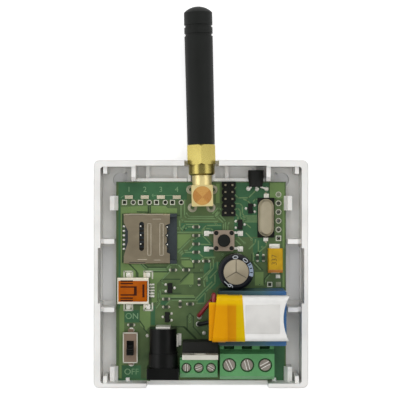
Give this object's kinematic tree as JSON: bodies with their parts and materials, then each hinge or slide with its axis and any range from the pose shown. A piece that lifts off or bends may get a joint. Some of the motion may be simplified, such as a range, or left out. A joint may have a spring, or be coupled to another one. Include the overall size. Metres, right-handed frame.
{
  "type": "gsm boiler control module",
  "caption": "Open plastic wall tray with a circuit board: stub antenna, card holder, mini USB, power socket, switches, relay with pouch cell, and screw terminals.",
  "frame": {"origin": "centre of the tray's back face", "axes": "+Z out of the wall towards the open front, +Y up towards the antenna, +X to the board's right seen from the front"},
  "size_m": [0.0612, 0.1092, 0.0278],
  "materials": {
    "tray_plastic": "matte, off-white moulding",
    "board_laminate": "glossy green solder mask",
    "antenna_rubber": "satin black rubber",
    "plated_brass": "gold-plated, glossy",
    "jack_insulator": "matte white",
    "jack_film": "glossy amber film",
    "sim_plastic": "matte black",
    "sim_steel": "satin",
    "plated_contacts": "bright plated",
    "usb_steel": "bright, part of it under an orange film",
    "black_plastic": "matte black",
    "switch_steel": "satin, tinned",
    "button_plastic": "matte dark grey",
    "moulding_compound": "matte black epoxy",
    "tinned_tab": "satin, tinned",
    "terminal_plastic": "satin green",
    "plated_steel": "zinc-plated",
    "capacitor_aluminium": "satin",
    "capacitor_film": "glossy dark sleeve",
    "tantalum_resin": "satin ochre resin",
    "crystal_steel": "satin",
    "relay_plastic": "satin blue",
    "pouch_film": "pale laminated foil",
    "amber_tape": "glossy amber film tape",
    "wire_red": "satin red insulation",
    "wire_black": "satin black insulation",
    "modem_steel": "satin shielding can on its carrier",
    "chip_ceramic": "fired ceramic with tinned ends"
  },
  "bodies": {
    "module": {"antenna_jack_body": "plated_brass", "antenna_jack_cap": "jack_film", "antenna_jack_insulator": "jack_insulator", "base_tray": "tray_plastic", "battery_cell": "pouch_film", "battery_lead_black": "wire_black", "battery_lead_red": "wire_red", "battery_tape": "amber_tape", "big_terminal_block": "terminal_plastic", "capacitor_can": "capacitor_aluminium", "capacitor_sleeve": "capacitor_film", "chip_passives": "chip_ceramic", "circuit_board": "board_laminate", "crystal_base": "black_plastic", "crystal_can": "crystal_steel", "dc_jack_contacts": "switch_steel", "dc_jack_housing": "black_plastic", "gsm_modem": "modem_steel", "header_block": "black_plastic", "header_pins": "plated_contacts", "microcontroller": "black_plastic", "regulator_body": "moulding_compound", "regulator_tab": "tinned_tab", "relay_case": "relay_plastic", "relay_pins": "plated_contacts", "sensor_body": "moulding_compound", "sensor_leads": "tinned_tab", "sim_contacts": "plated_contacts", "sim_holder_frame": "sim_plastic", "sim_holder_shell": "sim_steel", "slide_switch_base": "black_plastic", "slide_switch_frame": "switch_steel", "small_terminal_block": "terminal_plastic", "small_transistors": "moulding_compound", "tact_base": "black_plastic", "tact_cover": "switch_steel", "tact_legs": "switch_steel", "tantalum_body": "tantalum_resin", "tantalum_terminals": "plated_contacts", "terminal_contacts": "plated_contacts", "usb_insert": "black_plastic", "usb_pins": "plated_contacts", "usb_shell": "usb_steel"},
    "antenna": {"antenna_sheath": "antenna_rubber", "antenna_plug": "plated_brass"},
    "nut": {"coupling_nut": "plated_brass"},
    "switch_knob": {"slide_switch_knob": "black_plastic"},
    "button": {"tact_plunger": "button_plastic"},
    "small_screw_1": {"small_screw_1": "plated_steel"},
    "small_cage_1": {"small_cage_1": "plated_steel"},
    "small_screw_2": {"small_screw_2": "plated_steel"},
    "small_cage_2": {"small_cage_2": "plated_steel"},
    "small_screw_3": {"small_screw_3": "plated_steel"},
    "small_cage_3": {"small_cage_3": "plated_steel"},
    "big_screw_1": {"big_screw_1": "plated_steel"},
    "big_cage_1": {"big_cage_1": "plated_steel"},
    "big_screw_2": {"big_screw_2": "plated_steel"},
    "big_cage_2": {"big_cage_2": "plated_steel"},
    "big_screw_3": {"big_screw_3": "plated_steel"},
    "big_cage_3": {"big_cage_3": "plated_steel"}
  },
  "joints": [
    {"name": "antenna_pull", "type": "slide", "parent": "module", "child": "antenna", "axis": [-0.0236, 0.9997, 0], "range_m": [0, 0.00353]},
    {"name": "nut_spin", "type": "hinge", "parent": "antenna", "child": "nut", "pos_m": [0.00035, 0.02235, 0.0112], "axis": [-0.0236, 0.9997, 0], "range_deg": [0, 1800]},
    {"name": "switch_slide", "type": "slide", "parent": "module", "child": "switch_knob", "axis": [0, 1, 0], "range_m": [0, 0.002]},
    {"name": "button_press", "type": "slide", "parent": "module", "child": "button", "axis": [0, 0, -1], "range_m": [0, 0.00025], "stiffness_N_per_m": 1600, "springref_m": -0.0005},
    {"name": "small_screw_1_turn", "type": "hinge", "parent": "module", "child": "small_screw_1", "pos_m": [-0.00415, -0.02665, 0.015], "axis": [0, 0, 1], "range_deg": [-1080, 0]},
    {"name": "small_cage_1_rise", "type": "slide", "parent": "module", "child": "small_cage_1", "axis": [0, 0, 1], "range_m": [0, 0.0012]},
    {"name": "small_screw_2_turn", "type": "hinge", "parent": "module", "child": "small_screw_2", "pos_m": [-0.00065, -0.02665, 0.015], "axis": [0, 0, 1], "range_deg": [-1080, 0]},
    {"name": "small_cage_2_rise", "type": "slide", "parent": "module", "child": "small_cage_2", "axis": [0, 0, 1], "range_m": [0, 0.0012]},
    {"name": "small_screw_3_turn", "type": "hinge", "parent": "module", "child": "small_screw_3", "pos_m": [0.00285, -0.02665, 0.015], "axis": [0, 0, 1], "range_deg": [-1080, 0]},
    {"name": "small_cage_3_rise", "type": "slide", "parent": "module", "child": "small_cage_3", "axis": [0, 0, 1], "range_m": [0, 0.0012]},
    {"name": "big_screw_1_turn", "type": "hinge", "parent": "module", "child": "big_screw_1", "pos_m": [0.00802, -0.0257, 0.0165], "axis": [0, 0, 1], "range_deg": [-1080, 0]},
    {"name": "big_cage_1_rise", "type": "slide", "parent": "module", "child": "big_cage_1", "axis": [0, 0, 1], "range_m": [0, 0.0015]},
    {"name": "big_screw_2_turn", "type": "hinge", "parent": "module", "child": "big_screw_2", "pos_m": [0.0131, -0.0257, 0.0165], "axis": [0, 0, 1], "range_deg": [-1080, 0]},
    {"name": "big_cage_2_rise", "type": "slide", "parent": "module", "child": "big_cage_2", "axis": [0, 0, 1], "range_m": [0, 0.0015]},
    {"name": "big_screw_3_turn", "type": "hinge", "parent": "module", "child": "big_screw_3", "pos_m": [0.01818, -0.0257, 0.0165], "axis": [0, 0, 1], "range_deg": [-1080, 0]},
    {"name": "big_cage_3_rise", "type": "slide", "parent": "module", "child": "big_cage_3", "axis": [0, 0, 1], "range_m": [0, 0.0015]}
  ],
  "couplings": [
    {"joint": "nut_spin", "follows": "antenna_pull", "rad_per_m": 8899},
    {"joint": "small_screw_1_turn", "follows": "small_cage_1_rise", "rad_per_m": -15708},
    {"joint": "small_screw_2_turn", "follows": "small_cage_2_rise", "rad_per_m": -15708},
    {"joint": "small_screw_3_turn", "follows": "small_cage_3_rise", "rad_per_m": -15708},
    {"joint": "big_screw_1_turn", "follows": "big_cage_1_rise", "rad_per_m": -12566},
    {"joint": "big_screw_2_turn", "follows": "big_cage_2_rise", "rad_per_m": -12566},
    {"joint": "big_screw_3_turn", "follows": "big_cage_3_rise", "rad_per_m": -12566}
  ]
}
